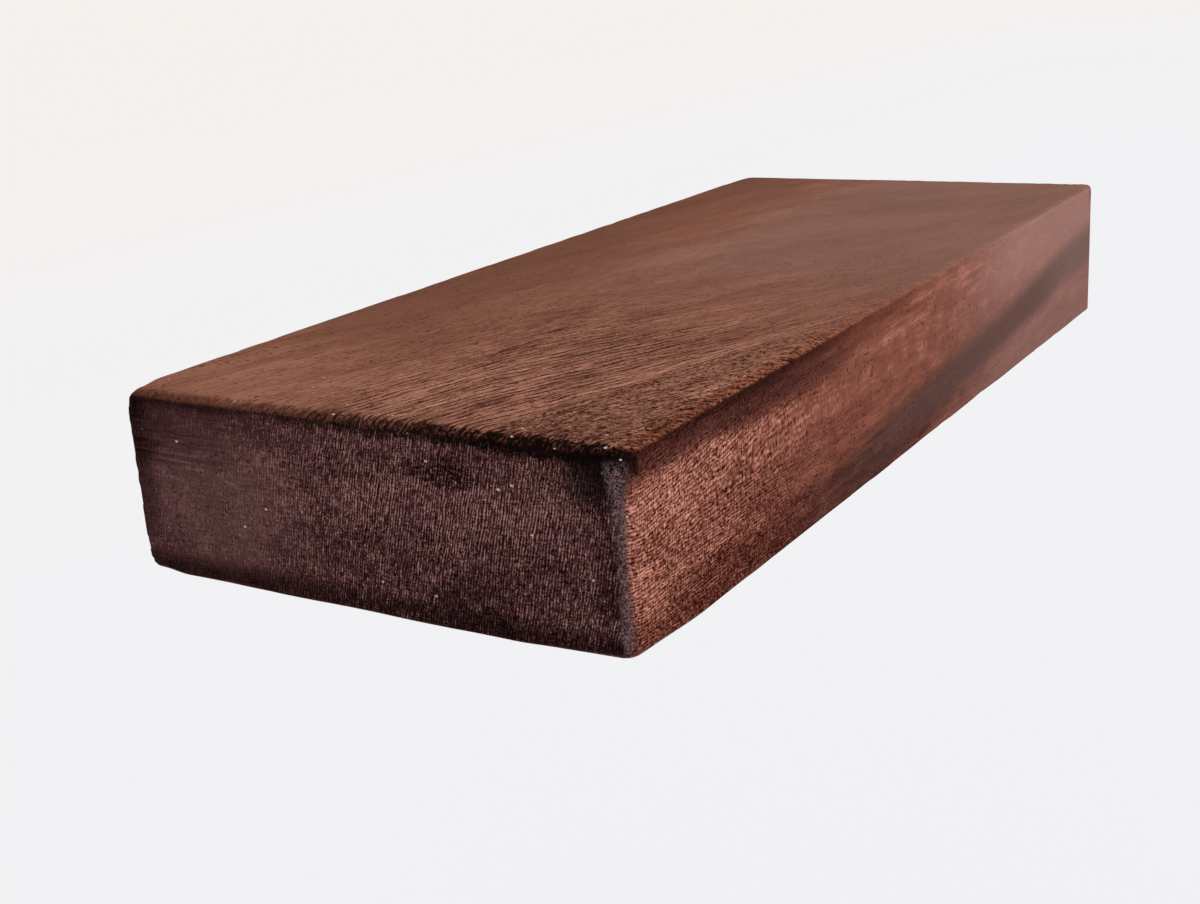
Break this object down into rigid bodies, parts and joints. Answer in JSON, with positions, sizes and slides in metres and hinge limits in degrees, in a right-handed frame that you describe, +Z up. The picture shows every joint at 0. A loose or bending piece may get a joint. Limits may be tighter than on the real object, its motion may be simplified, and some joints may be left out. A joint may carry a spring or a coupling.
{
  "type": "floating wall shelf",
  "caption": "Short floating wall shelf: a thick hardwood slab that slides over the rods of a hidden steel wall bracket.",
  "frame": {"origin": "middle of the bracket's back face on the wall plane, half way up the board", "axes": "+X along the wall and the board's length, +Y into the wall, +Z up, so the board's front faces -Y"},
  "size_m": [0.36, 0.1953, 0.05],
  "materials": {
    "hardwood": "oiled, satin, open pores",
    "bracket_steel": "mill finish flat bar, lightly oiled",
    "rod_steel": "bright drawn",
    "weld_metal": "rippled bead with heat tint",
    "zinc_plated_steel": "bright zinc plate",
    "nylon": "moulded, matte"
  },
  "bodies": {
    "bracket": {"wall_plate": "bracket_steel", "rod_left": "rod_steel", "weld_left": "weld_metal", "rod_right": "rod_steel", "weld_right": "weld_metal", "wall_screw_1": "zinc_plated_steel", "wall_plug_1": "nylon", "wall_screw_2": "zinc_plated_steel", "wall_plug_2": "nylon", "wall_screw_3": "zinc_plated_steel", "wall_plug_3": "nylon", "wall_screw_4": "zinc_plated_steel", "wall_plug_4": "nylon"},
    "shelf": {"shelf_board": "hardwood"}
  },
  "joints": [
    {"name": "shelf_slide", "type": "slide", "parent": "bracket", "child": "shelf", "axis": [0, -1, 0], "range_m": [0, 0.115]}
  ]
}
